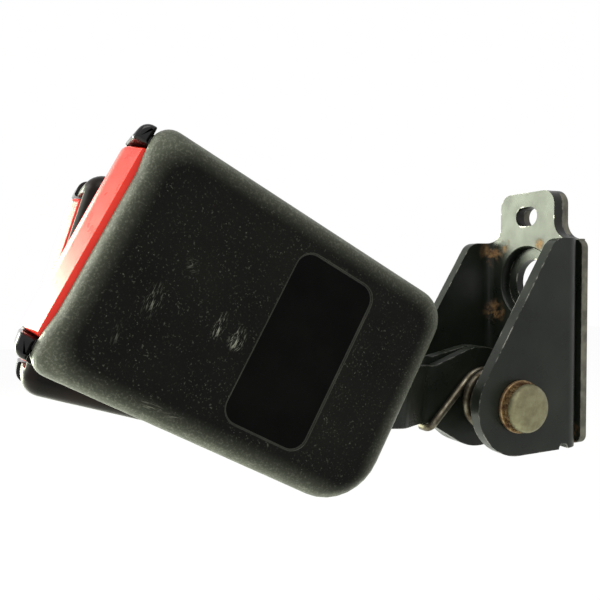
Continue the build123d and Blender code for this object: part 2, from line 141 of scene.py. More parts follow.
sheet.links.new(floor_rays.outputs["Is Camera Ray"], share.inputs[0])
sheet.links.new(share.outputs[0], blended.inputs[0])
sheet.links.new(matte.outputs[0], blended.inputs[1])
sheet.links.new(glow.outputs[0], blended.inputs[2])
floor_out = sheet.nodes.new("ShaderNodeOutputMaterial")
sheet.links.new(blended.outputs[0], floor_out.inputs["Surface"])
floor_mesh.materials.append(paper)

# ---------------------------------------------------------------------------
# Bracket: 3 mm sheet bent into a channel, its base drawn into a cup for the
# anchor bolt, with a slotted tab on top. Dipped in black paint that has rusted
# round the cup and worn to steel along the sheared edges.
# ---------------------------------------------------------------------------


class Finish:
    """One material under construction: short names for the nodes a finish needs."""

    def __init__(self, name):
        self.material = bpy.data.materials.new(name)
        self.material.use_nodes = True
        self.tree = self.material.node_tree
        self.shader = self.tree.nodes["Principled BSDF"]
        self.coords = self.node("ShaderNodeTexCoord").outputs["Object"]

    def node(self, kind, **settings):
        """A new node of the material, with its settings."""
        made = self.tree.nodes.new(kind)
        for key, value in settings.items():
            setattr(made, key, value)
        return made

    def put(self, value, socket):
        """Links a socket, or sets a constant, into an input."""
        if isinstance(value, bpy.types.NodeSocket):
            self.tree.links.new(value, socket)
        else:
            socket.default_value = value

    def set(self, name, value):
        """The same for an input of the material's shader."""
        self.put(value, self.shader.inputs[name])

    def math(self, operation, first, second=0.0):
        made = self.node("ShaderNodeMath", operation=operation)
        self.put(first, made.inputs[0])
        self.put(second, made.inputs[1])
        return made.outputs[0]

    def noise(self, scale, detail=4.0, where=None, rough=0.55):
        made = self.node("ShaderNodeTexNoise")
        made.inputs["Scale"].default_value = scale
        made.inputs["Detail"].default_value = detail
        made.inputs["Roughness"].default_value = rough
        self.put(where or self.coords, made.inputs["Vector"])
        return made.outputs["Fac"]

    def ramp(self, value, low, high, start=0.0, end=1.0):
        """start at low, end at high, straight between and level beyond."""
        made = self.node("ShaderNodeMapRange")
        made.inputs["From Min"].default_value = low
        made.inputs["From Max"].default_value = high
        made.inputs["To Min"].default_value = start
        made.inputs["To Max"].default_value = end
        self.put(value, made.inputs["Value"])
        return made.outputs["Result"]

    def mix(self, share, first, second):
        """first at a share of 0, second at 1."""
        made = self.node("ShaderNodeMix", data_type="RGBA")
        self.put(share, made.inputs["Factor"])
        self.put(first, made.inputs[6])
        self.put(second, made.inputs[7])
        return made.outputs[2]

    def near(self, point, radius, soft=0.6, stretch=(1, 1, 1), turn=0.0, break_up=None):
        """1 round a point given in millimetres, falling to 0 at a ragged radius."""
        moved = self.node("ShaderNodeMapping", vector_type="TEXTURE")
        moved.inputs["Location"].default_value = [c * MM for c in point]
        moved.inputs["Rotation"].default_value = (0, turn, 0)
        moved.inputs["Scale"].default_value = stretch
        self.put(self.coords, moved.inputs["Vector"])
        length = self.node("ShaderNodeVectorMath", operation="LENGTH")
        self.put(moved.outputs[0], length.inputs[0])
        mask = self.ramp(length.outputs["Value"], radius * MM * soft, radius * MM, 1, 0)
        if break_up is not None:
            mask = self.math("MULTIPLY", mask, break_up)
        return mask

    def edges(self, width, low=0.06, high=0.30):
        """1 along corners, from how far a softened normal leaves the true one; the black paint wears there,
        and the red button takes a painted highlight there.
        """
        soft = self.node("ShaderNodeBevel", samples=6)
        soft.inputs["Radius"].default_value = width * MM
        true = self.node("ShaderNodeNewGeometry")
        dot = self.node("ShaderNodeVectorMath", operation="DOT_PRODUCT")
        self.put(soft.outputs[0], dot.inputs[0])
        self.put(true.outputs["Normal"], dot.inputs[1])
        return self.ramp(dot.outputs["Value"], 1 - low, 1 - high)

    def bump(self, height, depth, strength=1.0, under=None):
        """Relief of a depth in millimetres, on top of another if given."""
        made = self.node("ShaderNodeBump")
        made.inputs["Strength"].default_value = strength
        made.inputs["Distance"].default_value = depth * MM
        self.put(height, made.inputs["Height"])
        if under is not None:
            self.put(under, made.inputs["Normal"])
        return made.outputs["Normal"]


def black_paint(name, rusty=(), wear=0.5):
    """Black dip paint over steel; rusty lists (point, radius) in millimetres."""
    f = Finish(name)
    blotch = f.noise(70, 3)
    worn = f.math("MULTIPLY", f.edges(0.7), f.ramp(f.noise(420, 5), wear, wear + 0.12))
    shade = f.mix(f.ramp(blotch, 0.35, 0.7), (0.0060, 0.0078, 0.0056, 1), (0.013, 0.0155, 0.0118, 1))
    colour = f.mix(worn, shade, (0.36, 0.35, 0.32, 1))
    rough = f.ramp(f.noise(160, 4), 0.3, 0.7, 0.24, 0.42)
    rust = None
    flake = f.ramp(f.noise(260, 6, rough=0.7), 0.46, 0.56)
    for point, radius in rusty:
        spot = f.near(point, radius, 0.35, break_up=flake)
        rust = spot if rust is None else f.math("MAXIMUM", rust, spot)
    if rust is not None:
        tone = f.mix(f.ramp(f.noise(700, 4), 0.35, 0.65), (0.045, 0.023, 0.010, 1), (0.20, 0.115, 0.048, 1))
        colour = f.mix(rust, colour, tone)
        rough = f.math("ADD", rough, f.math("MULTIPLY", rust, 0.4))
        worn = f.math("MULTIPLY", worn, f.math("SUBTRACT", 1.0, rust))
    f.set("Base Color", colour)
    f.set("Roughness", rough)
    f.set("Metallic", worn)
    f.set("Specular IOR Level", 0.22)
    grain = f.bump(f.noise(900, 3), 0.03, 0.6)
    if rust is not None:
        grain = f.bump(f.math("MULTIPLY", f.noise(1500, 5), rust), 0.08, 1.0, grain)
    f.set("Normal", grain)
    return f.material


def loose(name, mesh):
    """A new object in the scene for a mesh."""
    made = bpy.data.objects.new(name, mesh)
    scene.collection.objects.link(made)
    return made


def settled(piece):
    """The piece with its modifiers worked into its mesh."""
    bpy.context.view_layer.update()
    evaluated = piece.evaluated_get(bpy.context.evaluated_depsgraph_get())
    mesh = bpy.data.meshes.new_from_object(evaluated)
    piece.modifiers.clear()
    piece.data = mesh
    return piece


def shaded(piece, angle=32):
    """Smooth shading that stays flat on the flat faces and breaks at sharp corners."""
    piece.data.shade_smooth()
    piece.data.set_sharp_from_angle(angle=radians(angle))
    flat = piece.modifiers.new("flat_stays_flat", "WEIGHTED_NORMAL")
    flat.keep_sharp = True
    return settled(piece)


def pressed(name, node, edge, segments=2, angle=28):
    """A node's solid as a finished pressing: merged, flat faces joined, edges rolled."""
    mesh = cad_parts[node].data.copy()
    mesh.materials.clear()
    work = bmesh.new()
    work.from_mesh(mesh)
    bmesh.ops.remove_doubles(work, verts=work.verts, dist=0.00002)
    bmesh.ops.dissolve_limit(work, angle_limit=radians(0.8), verts=work.verts, edges=work.edges)
    work.to_mesh(mesh)
    work.free()
    piece = loose(name, mesh)
    if edge:
        roll = piece.modifiers.new("rolled_edges", "BEVEL")
        roll.width = edge * MM
        roll.segments = segments
        roll.limit_method = "ANGLE"
        roll.angle_limit = radians(angle)
        roll.harden_normals = False
        settled(piece)
    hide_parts(node)
    return shaded(piece)


bracket_rust = (
    ((-5.2, 13.6, 8.6), 4.6),
    ((-5.2, 12.2, -8.8), 4.2),
    ((-5.2, 8.9, 11.2), 3.0),
    ((-5.2, -5.0, 10.6), 2.0),
    ((-3.6, 2.0, -43.0), 5.0),
    ((-3.6, -13.0, -43.0), 5.0),
)
bracket_paint = black_paint("black_bracket_paint", bracket_rust, 0.50)
bracket = pressed("bracket_pressing", "bracket", 0.25)
bracket.data.materials.append(bracket_paint)
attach(bracket, "bracket")

# ---------------------------------------------------------------------------
# Backing plate: a flat second sheet behind the base and the tab, punched clear
# of the cup. Its edge faces turned along y are coloured paler, a lighter band beside the bend.
# ---------------------------------------------------------------------------


def paler_y_edge_finish(name):
    """Paler grey-brown in patches, for the backing's edge faces turned along y."""
    f = Finish(name)
    patches = f.ramp(f.noise(300, 5), 0.4, 0.6)
    f.set("Base Color", f.mix(patches, (0.060, 0.056, 0.042, 1), (0.13, 0.125, 0.095, 1)))
    f.set("Roughness", 0.6)
    f.set("Metallic", 0.2)
    return f.material


backing_rust = (((-1.1, -15.0, -43.0), 6.0), ((-1.1, 14.0, 11.0), 4.0))
backing_paint = black_paint("black_backing_paint", backing_rust, 0.46)
backing = pressed("backing_sheet", "backing_plate", 0.25)
backing.data.materials.append(backing_paint)
backing.data.materials.append(paler_y_edge_finish("paler_y_edge_faces"))
# The edge faces turned along y take the paler colour.
for face in backing.data.polygons:
    face.material_index = int(abs(face.normal.y) > 0.7)
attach(backing, "bracket")

# ---------------------------------------------------------------------------
# Pivot pin: cold-headed steel, yellow zinc gone dull, with a domed head towards
# the label side and a peened tail. A toothed lock washer and a plain washer sit
# under the head, another plain washer under the peened end.
# ---------------------------------------------------------------------------
pin_x, pin_z = -24.2, -30.4
pin_axis = Matrix.Translation((pin_x * MM, 0, pin_z * MM)) @ Matrix.Scale(MM, 4)


def dull_zinc(name, light=(0.21, 0.20, 0.115, 1), dark=(0.155, 0.14, 0.078, 1)):
    """Zinc plate gone dull and stained, slightly pitted."""
    f = Finish(name)
    stain = f.ramp(f.noise(420, 6, rough=0.65), 0.40, 0.62)
    f.set("Base Color", f.mix(stain, dark, light))
    f.set("Metallic", 0.6)
    f.set("Roughness", f.ramp(stain, 0, 1, 0.60, 0.42))
    pits = f.bump(f.noise(1300, 4), 0.05, 0.8)
    f.set("Normal", f.bump(f.noise(350, 3), 0.12, 0.5, pits))
    return f.material


def turned(name, profile, steps=72):
    """A piece turned on the pin from (radius, y) points in millimetres."""
    work = bmesh.new()
    closed = profile[0][0] > 0.01
    rings = []
    for r, y in profile:
        if r < 0.01:
            rings.append([work.verts.new((0, y, 0))])
            continue
        ring = []
        for n in range(steps):
            angle = 2 * pi * n / steps
            ring.append(work.verts.new((r * cos(angle), y, r * sin(angle))))
        rings.append(ring)
    pairs = list(zip(rings, rings[1:]))
    if closed:
        pairs.append((rings[-1], rings[0]))
    for low, high in pairs:
        for n in range(steps):
            m = (n + 1) % steps
            corners = [low[n % len(low)], low[m % len(low)], high[m % len(high)], high[n % len(high)]]
            unique = list(dict.fromkeys(corners))
            work.faces.new(unique)
    bmesh.ops.recalc_face_normals(work, faces=work.faces)
    bmesh.ops.transform(work, matrix=pin_axis, verts=work.verts)
    mesh = bpy.data.meshes.new(name)
    work.to_mesh(mesh)
    work.free()
    return shaded(loose(name, mesh), 40)


zinc = dull_zinc("dull_yellow_zinc")
head_face = -22.7
head_dome = [(0, 0.05), (2.2, 0.02), (3.7, 0), (4.35, 0.06), (4.9, 0.22), (5.4, 0.50), (5.75, 0.88)]
head_rim = [(5.95, 1.30), (6.0, 1.75), (5.97, 2.05), (5.85, 2.2), (4.1, 2.2), (4.0, 2.3)]
peened_end = [(4.0, 19.0), (5.35, 19.0), (5.55, 19.25), (5.45, 19.75), (5.0, 20.2)]
peened_end += [(3.9, 20.6), (2.4, 20.82), (0, 20.9)]
head = [(r, head_face + back) for r, back in head_dome + head_rim]
pin = turned("headed_pin", head + peened_end)
pin.data.materials.append(zinc)
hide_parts("pivot_pin")
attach(pin, "bracket")

rusty_zinc = dull_zinc("rusty_zinc", (0.30, 0.21, 0.10, 1), (0.10, 0.045, 0.02, 1))
washer_front = [(4.05, -19), (4.05, -18), (6.4, -18), (6.6, -18.2), (6.6, -18.8), (6.4, -19)]
washer_rear = [(4.05, 18), (4.05, 19), (6.4, 19), (6.6, 18.8), (6.6, 18.2), (6.4, 18)]
washers = turned("washer_front", washer_front)
rear_washer = turned("washer_rear", washer_rear)
both = bmesh.new()
both.from_mesh(washers.data)
both.from_mesh(rear_washer.data)
both.to_mesh(washers.data)
both.free()
bpy.data.objects.remove(rear_washer)
washers.name = "plain_washers"
shaded(washers, 40)
washers.data.materials.append(rusty_zinc)
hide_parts("pin_washers")
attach(washers, "bracket")


def node_group(name, inputs):
    """An empty geometry tree whose modifier shows these named inputs."""
    group = bpy.data.node_groups.new(name, "GeometryNodeTree")
    group.interface.new_socket("Geometry", in_out="INPUT", socket_type="NodeSocketGeometry")
    for label, kind in inputs:
        group.interface.new_socket(label, in_out="INPUT", socket_type=kind)
    group.interface.new_socket("Geometry", in_out="OUTPUT", socket_type="NodeSocketGeometry")
    return group, group.nodes.new("NodeGroupInput"), group.nodes.new("NodeGroupOutput")


def grown(piece, group, values):
    """Runs a geometry tree on a piece and keeps the result as its mesh."""
    modifier = piece.modifiers.new(group.name, "NODES")
    modifier.node_group = group
    for item in group.interface.items_tree:
        if item.item_type == "SOCKET" and item.in_out == "INPUT" and item.name in values:
            modifier[item.identifier] = values[item.name]
    return settled(piece)


def toothed_ring():
    """Teeth set round a collar: one wedge, repeated by count."""
    inputs = (
        ("Teeth", "NodeSocketInt"),
        ("Radius", "NodeSocketFloat"),
        ("Tooth", "NodeSocketObject"),
        ("Finish", "NodeSocketMaterial"),
    )
    group, given, out = node_group("toothed_ring", inputs)
    nodes, link = group.nodes, group.links.new
    ring = nodes.new("GeometryNodeMeshCircle")
    link(given.outputs["Teeth"], ring.inputs["Vertices"])
    link(given.outputs["Radius"], ring.inputs["Radius"])
    index = nodes.new("GeometryNodeInputIndex")
    turn = nodes.new("ShaderNodeMath")
    turn.operation = "DIVIDE"
    link(index.outputs[0], turn.inputs[0])
    link(given.outputs["Teeth"], turn.inputs[1])
    angle = nodes.new("ShaderNodeMath")
    angle.operation = "MULTIPLY"
    angle.inputs[1].default_value = 2 * pi
    link(turn.outputs[0], angle.inputs[0])
    spin = nodes.new("ShaderNodeCombineXYZ")
    link(angle.outputs[0], spin.inputs["Z"])
    tooth = nodes.new("GeometryNodeObjectInfo")
    link(given.outputs["Tooth"], tooth.inputs["Object"])
    copies = nodes.new("GeometryNodeInstanceOnPoints")
    link(ring.outputs["Mesh"], copies.inputs["Points"])
    link(tooth.outputs["Geometry"], copies.inputs["Instance"])
    link(spin.outputs[0], copies.inputs["Rotation"])
    joined = nodes.new("GeometryNodeJoinGeometry")
    link(copies.outputs[0], joined.inputs[0])
    link(given.outputs["Geometry"], joined.inputs[0])
    real = nodes.new("GeometryNodeRealizeInstances")
    link(joined.outputs[0], real.inputs[0])
    finish = nodes.new("GeometryNodeSetMaterial")
    link(real.outputs[0], finish.inputs["Geometry"])
    link(given.outputs["Finish"], finish.inputs["Material"])
    link(finish.outputs[0], out.inputs[0])
    return group


lie_flat = Matrix.Rotation(radians(90), 4, "X")
collar = turned(
    "lock_washer",
    [(4.05, -20.5), (4.05, -19.0), (5.5, -19.0), (5.7, -19.2), (5.7, -20.3), (5.5, -20.5)],
)
collar.data.transform(lie_flat.inverted() @ pin_axis.inverted())
tooth_mesh = bpy.data.meshes.new("lock_tooth")
wedge = bmesh.new()
shape = [(-0.7, -0.62), (-0.7, 0.62), (0.42, 0.22), (0.46, 0.0), (0.42, -0.22)]
low = [wedge.verts.new((x, y, 19.08)) for x, y in shape]
high = [wedge.verts.new((x, y, 20.42)) for x, y in shape]
wedge.faces.new(low)
wedge.faces.new(reversed(high))
for n in range(5):
    wedge.faces.new((low[n - 1], high[n - 1], high[n], low[n]))
bmesh.ops.recalc_face_normals(wedge, faces=wedge.faces)
wedge.to_mesh(tooth_mesh)
wedge.free()
tooth = loose("lock_tooth", tooth_mesh)
lock_values = {"Teeth": 22, "Radius": 5.74, "Tooth": tooth, "Finish": rusty_zinc}
grown(collar, toothed_ring(), lock_values)
bpy.data.objects.remove(tooth)
collar.data.transform(pin_axis @ lie_flat)
shaded(collar, 30)
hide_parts("toothed_washer")
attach(collar, "bracket")

# ---------------------------------------------------------------------------
# Bushes and centre washer: black nylon sleeves inside the springs, and a thin
# nylon washer that keeps the two arms apart.
# ---------------------------------------------------------------------------


def moulded_nylon(name):
    """Black nylon as it leaves the mould, matt and faintly uneven."""
    f = Finish(name)
    shade = f.ramp(f.noise(180, 3), 0.3, 0.7)
    f.set("Base Color", f.mix(shade, (0.014, 0.014, 0.014, 1), (0.03, 0.03, 0.029, 1)))
    f.set("Roughness", f.ramp(f.noise(500, 3), 0.3, 0.7, 0.45, 0.6))
    f.set("Normal", f.bump(f.noise(1400, 3), 0.03, 0.7))
    return f.material


nylon = moulded_nylon("black_nylon")
for side, name in ((-1, "front"), (1, "rear")):
    near_end, far_end = side * 3.4, side * 14.95
    inner = [(4.05, near_end), (4.05, far_end), (5.0, far_end), (5.3, far_end - side * 0.3)]
    sleeve = turned(f"{name}_sleeve", inner + [(5.3, near_end + side * 0.3), (5.0, near_end)])
    sleeve.data.materials.append(nylon)
    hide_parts(f"{name}_bush")
    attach(sleeve, "bracket")
spacer_profile = [(4.05, -0.3), (4.05, 0.3), (8.9, 0.3), (9.0, 0.2), (9.0, -0.2), (8.9, -0.3)]
spacer = turned("arm_spacer", spacer_profile)
spacer.data.materials.append(nylon)
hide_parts("centre_washer")
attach(spacer, "bracket")

# ---------------------------------------------------------------------------
# Torsion springs: 2 mm drawn spring wire wound round each bush. One leg hooks
# under its arm, the other bears on the bracket's base. Oiled, faintly rusted.
# ---------------------------------------------------------------------------


def drawn_wire(name, light=(0.16, 0.145, 0.11, 1), dark=(0.05, 0.038, 0.024, 1)):
    """Drawn steel wire, lighter where it is clean and dark where it is oiled."""
    f = Finish(name)
    tarnish = f.ramp(f.noise(330, 5), 0.38, 0.62)
    f.set("Base Color", f.mix(tarnish, dark, light))
    f.set("Metallic", 0.9)
    f.set("Roughness", f.ramp(tarnish, 0, 1, 0.5, 0.3))
    f.set("Normal", f.bump(f.noise(1600, 4), 0.03, 0.7))
    return f.material


def wire_tree():
    """Round wire of a given radius along the piece's own line."""
    inputs = (
        ("Wire radius", "NodeSocketFloat"),
        ("Sides", "NodeSocketInt"),
        ("Finish", "NodeSocketMaterial"),
    )
    group, given, out = node_group("drawn_to_wire", inputs)
    nodes, link = group.nodes, group.links.new
    line = nodes.new("GeometryNodeMeshToCurve")
    link(given.outputs["Geometry"], line.inputs["Mesh"])
    section = nodes.new("GeometryNodeCurvePrimitiveCircle")
    link(given.outputs["Wire radius"], section.inputs["Radius"])
    link(given.outputs["Sides"], section.inputs["Resolution"])
    swept = nodes.new("GeometryNodeCurveToMesh")
    swept.inputs["Fill Caps"].default_value = True
    link(line.outputs["Curve"], swept.inputs["Curve"])
    link(section.outputs["Curve"], swept.inputs["Profile Curve"])
    real = nodes.new("GeometryNodeRealizeInstances")
    link(swept.outputs[0], real.inputs[0])
    finish = nodes.new("GeometryNodeSetMaterial")
    link(real.outputs[0], finish.inputs["Geometry"])
    link(given.outputs["Finish"], finish.inputs["Material"])
    link(finish.outputs[0], out.inputs[0])
    return group


wire_along = wire_tree()


def wire_piece(name, points, radius, sides, finish, place):
    """A wire of round section through points in millimetres, then put in place."""
    mesh = bpy.data.meshes.new(name)
    mesh.from_pydata(points, [(n, n + 1) for n in range(len(points) - 1)], [])
    piece = loose(name, mesh)
    grown(piece, wire_along, {"Wire radius": radius, "Sides": sides, "Finish": finish})
    work = bmesh.new()
    work.from_mesh(piece.data)
    bmesh.ops.remove_doubles(work, verts=work.verts, dist=0.0001)
    bmesh.ops.recalc_face_normals(work, faces=work.faces)
    bmesh.ops.transform(work, matrix=place, verts=work.verts)
    work.to_mesh(piece.data)
    work.free()
    return shaded(piece, 50)


def eased(points, steps=6):
    """The points with each inner corner replaced by a short round bend."""
    line = [Vector(points[0])]
    for before, corner, after in zip(points, points[1:], points[2:]):
        before, corner, after = Vector(before), Vector(corner), Vector(after)
        start = corner + (before - corner).normalized() * 2.0
        end = corner + (after - corner).normalized() * 2.0
        for n in range(steps + 1):
            t = n / steps
            line.append(start * (1 - t) ** 2 + corner * 2 * t * (1 - t) + end * t * t)
    return line + [Vector(points[-1])]


spring_steel = drawn_wire("drawn_spring_steel")
arms = {"front": (-1, 6.6, 38.8, 29.4), "rear": (1, 14.1, 37.3, 18.7)}
coil_radius = 7.3
wire_radius = 1.0


def rising(angle):
    """Unit vector that points left and up at an angle from the pin."""
    return Vector((-cos(radians(angle)), 0, sin(radians(angle))))


def wound(turn):
    """Axial travel of the coil, level at its start so that the leg runs straight on."""
    lead = 1 / 4
    return turn * turn / (2 * lead) if turn < lead else turn - lead / 2


for name, (side, neck_turn, reach, rise) in arms.items():
    under = Vector((-sin(radians(neck_turn)), 0, -cos(radians(neck_turn))))
    hook = rising(neck_turn) * 16.2 + under * (7.5 + 1.15)
    hook_angle = (atan2(hook.z, hook.x) - acos(coil_radius / hypot(hook.x, hook.z))) % (2 * pi)
    stop = Vector((16.5, side * 13.85, -10.0))
    stop_angle = atan2(stop.z, stop.x) + acos(coil_radius / hypot(stop.x, stop.z))
    turns = 3 + (hook_angle - stop_angle) / (2 * pi)
    travel = 2 * wound(turns / 2)
    coil = []
    steps = 132
    for n in range(steps + 1):
        done = turns * n / steps
        level = wound(done) if done < turns / 2 else travel - wound(turns - done)
        angle = hook_angle - 2 * pi * done
        y = side * (4.5 + 9.35 * level / travel)
        coil.append(Vector((coil_radius * cos(angle), y, coil_radius * sin(angle))))
    corner = Vector((hook.x, side * 4.5, hook.z))
    tip = corner - Vector((0, side * 3.7, 0))
    line = eased([tip, corner, coil[0]])[:-1] + coil + [stop]
    spring = wire_piece(f"{name}_coil", line, wire_radius, 14, spring_steel, pin_axis)
    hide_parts(f"{name}_torsion_spring")
    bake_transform(spring)

# ---------------------------------------------------------------------------
# Arms: 3 mm black-painted steel, blanked with an eye at the pin, joggled out
# to the buckle. Paint has gone from the blanked edges and from the bend lines.
# ---------------------------------------------------------------------------
arm_paint = black_paint("black_arm_paint", (), 0.44)
for name in ("front", "rear"):
    arm = pressed(f"{name}_joggled_arm", f"{name}_arm", 0.25)
    arm.data.materials.append(arm_paint)
    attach(arm, f"{name}_buckle")

# ---------------------------------------------------------------------------
# Buckle covers: two moulded halves clipped together round the latch. The label
# side is grained with a sunk, bare label panel; the inner side is smoother.
# A buckle is modelled once, tail at x = 0, label side at +y, and set twice.
# ---------------------------------------------------------------------------
pair_middle = 14.4


def buckle_frame(side, neck_turn, reach, rise):
    """Where a buckle's own millimetres lie: x to the mouth, y to the label side."""
    a = rising(rise)
    w = Vector((sin(radians(rise)), 0, cos(radians(rise)))) * -side
    out = w.cross(a)
    tail = Vector((pin_x, side * pair_middle, pin_z)) + rising(neck_turn) * reach
    columns = [Vector((*c, 0)) for c in (a * MM, out * MM, w * MM)] + [Vector((*(tail * MM), 1))]
    return Matrix(columns).transposed()


buckles = {name: buckle_frame(*numbers) for name, numbers in arms.items()}
half_width = 24.7
mouth_x = 71.4
cover_corners = [
    (0, -half_width, 12.0),
    (mouth_x + 0.5, -half_width, 3.8),
    (mouth_x + 0.5, -18.0, 8.0),
    (mouth_x, -14.0, 8.0),
    (mouth_x, 14.0, 8.0),
    (mouth_x + 0.5, 18.0, 8.0),
    (mouth_x + 0.5, half_width, 3.8),
    (0, half_width, 7.0),
]
inner_corners = [
    (0, -half_width, 12.0),
    (mouth_x + 2.8, -half_width, 4.6),
    (mouth_x + 2.8, half_width, 4.6),
    (0, half_width, 7.0),
]
label_corners = [(18.6, -18.3, 3.5), (37.4, -18.3, 3.5), (37.4, 18.3, 3.5), (18.6, 18.3, 3.5)]
throat = (63.0, 90.0)


def outline(corners, inset=0.0, steps=8):
    """Rounded (x, z) outline, moved inwards by a distance; corners run anticlockwise."""
    loop = []
    count = len(corners)
    for n, (x, z, r) in enumerate(corners):
        point = Vector((x, z))
        back = (Vector(corners[n - 1][:2]) - point).normalized()
        on = (Vector(corners[(n + 1) % count][:2]) - point).normalized()
        bulge = 1 if (-back).cross(on) > 0 else -1
        half = back.angle(on) / 2
        inward = (back + on).normalized()
        point = point + inward * (inset / sin(half)) * bulge
        r = max(r - bulge * inset, 0.05)
        centre = point + inward * (r / sin(half))
        start = point + back * (r / tan(half)) - centre
        end = point + on * (r / tan(half)) - centre
        a0 = atan2(start.y, start.x)
        turn = (atan2(end.y, end.x) - a0 + pi) % (2 * pi) - pi
        for s in range(steps + 1):
            angle = a0 + turn * s / steps
            loop.append((centre.x + r * cos(angle), centre.y + r * sin(angle)))
    return loop


def at_depth(loop, y):
    """The (x, z) loop as points at one y."""
    return [(x, y, z) for x, z in loop]


def skinned(work, loops):
    """Joins loops of the same count by bands; returns the rows of vertices."""
    rows = [[work.verts.new(p) for p in loop] for loop in loops]
    for low, high in zip(rows, rows[1:]):
        for n in range(len(low)):
            m = (n + 1) % len(low)
            work.faces.new((low[n], low[m], high[m], high[n]))
    return rows


def fill_between(work, outer, inner):
    """Flat face between an outer loop and a hole in it."""
    edges = []
    for ring in (outer, inner):
        for n in range(len(ring)):
            pair = (ring[n], ring[(n + 1) % len(ring)])
            edges.append(work.edges.get(pair) or work.edges.new(pair))
    return bmesh.ops.triangle_fill(work, use_beauty=True, use_dissolve=False, edges=edges)


def cover_shell(corners, with_label):
    """Closed half shell, parting face at y = 0, label panel sunk in if asked."""
    work = bmesh.new()
    wall, depth, edge = 2.0, 12.0, 3.5
    loops = [at_depth(outline(corners, wall + 0.8), depth - wall)]
    loops.append(at_depth(outline(corners, wall), depth - wall - 1.0))
    loops.append(at_depth(outline(corners, wall), 0.0))
    loops.append(at_depth(outline(corners, 0.22), 0.0))
    loops.append(at_depth(outline(corners, 0.06), 0.08))
    loops.append(at_depth(outline(corners, 0.0), 0.28))
    loops.append(at_depth(outline(corners, 0.0), depth - edge - 0.6))
    for n in range(9):
        turn = radians(90) * n / 8
        inset = edge * (1 - cos(turn))
        loops.append(at_depth(outline(corners, inset), depth - edge + edge * sin(turn)))
    rows = skinned(work, loops)
    work.faces.new(reversed(rows[0]))
    if not with_label:
        work.faces.new(rows[-1])
    else:
        sink = [
            at_depth(outline(label_corners, -0.35), depth),
            at_depth(outline(label_corners, -0.12), depth - 0.05),
            at_depth(outline(label_corners, 0.0), depth - 0.16),
            at_depth(outline(label_corners, 0.06), depth - 0.42),
            at_depth(outline(label_corners, 0.3), depth - 0.5),
        ]
        panel = skinned(work, sink)
        fill_between(work, rows[-1], panel[0])
        floor_face = work.faces.new(panel[-1])
        floor_face.material_index = 1
        # The panel's walls take the third material, a lighter black painted as a highlight round the label.
        rim = {v for row in panel[1:] for v in row}
        for face in work.faces:
            if face is not floor_face and all(v in rim for v in face.verts):
                face.material_index = 2
    bmesh.ops.recalc_face_normals(work, faces=work.faces)
    return work


def block(work, x, y, z, roll=0.0):
    """A box from pairs of millimetre limits, its edges rolled if asked."""
    corners = bmesh.ops.create_cube(work, size=1)["verts"]
    for v in corners:
        v.co = Vector((x[v.co.x > 0], y[v.co.y > 0], z[v.co.z > 0]))
    if roll:
        sides = {e for v in corners for e in v.link_edges}
        bmesh.ops.bevel(work, geom=list(sides), offset=roll, segments=2, affect="EDGES")


def block_cutter(x, y, z, place):
    """A box in buckle millimetres, as a piece to cut with."""
    work = bmesh.new()
    block(work, x, y, z)
    bmesh.ops.transform(work, matrix=place, verts=work.verts)
    bmesh.ops.recalc_face_normals(work, faces=work.faces)
    mesh = bpy.data.meshes.new("cutter")
    work.to_mesh(mesh)
    work.free()
    return loose("cutter", mesh)


def cut_out(piece, cutters, edge=0.2):
    """Takes the cutters' volumes from the piece and eases the cut edges."""
    for cutter in cutters:
        cut = piece.modifiers.new("cut", "BOOLEAN")
        cut.object = cutter
        cut.solver = "EXACT"
    settled(piece)
    for cutter in cutters:
        bpy.data.objects.remove(cutter)
    ease = piece.modifiers.new("eased_cut", "BEVEL")
    ease.width = edge * MM
    ease.segments = 2
    ease.limit_method = "ANGLE"
    ease.angle_limit = radians(60)
    return settled(piece)


def from_work(name, work, place, mirror_y=False):
    """A bmesh in buckle millimetres as a piece in its place."""
    if mirror_y:
        bmesh.ops.scale(work, vec=(1, -1, 1), verts=work.verts)
    bmesh.ops.transform(work, matrix=place, verts=work.verts)
    bmesh.ops.recalc_face_normals(work, faces=work.faces)
    mesh = bpy.data.meshes.new(name)
    work.to_mesh(mesh)
    work.free()
    return loose(name, mesh)


